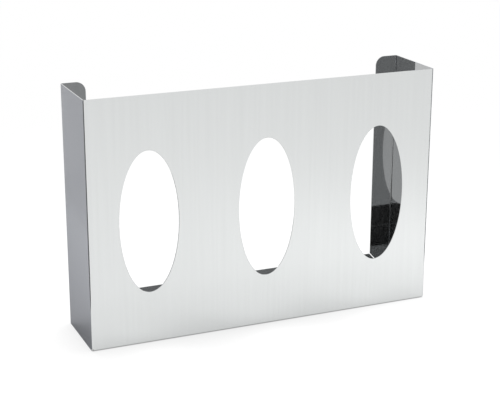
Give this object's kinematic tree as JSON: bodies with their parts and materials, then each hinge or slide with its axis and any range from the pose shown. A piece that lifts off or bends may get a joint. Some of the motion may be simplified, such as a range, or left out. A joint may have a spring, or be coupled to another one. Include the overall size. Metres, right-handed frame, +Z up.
{
  "type": "disposable glove dispenser",
  "caption": "Wall-mounted glove box dispenser folded from stainless steel sheet, with an open top and back and a row of tall oval openings in the front.",
  "frame": {"origin": "centre of the underside of the outer box", "axes": "+Z up, +Y towards the wall that the back lies against, +X to the right as seen from the front"},
  "size_m": [0.385, 0.081, 0.26],
  "materials": {
    "stainless_steel": "satin brushed stainless steel sheet"
  },
  "bodies": {
    "root": {"dispenser_body": "stainless_steel"}
  },
  "joints": []
}
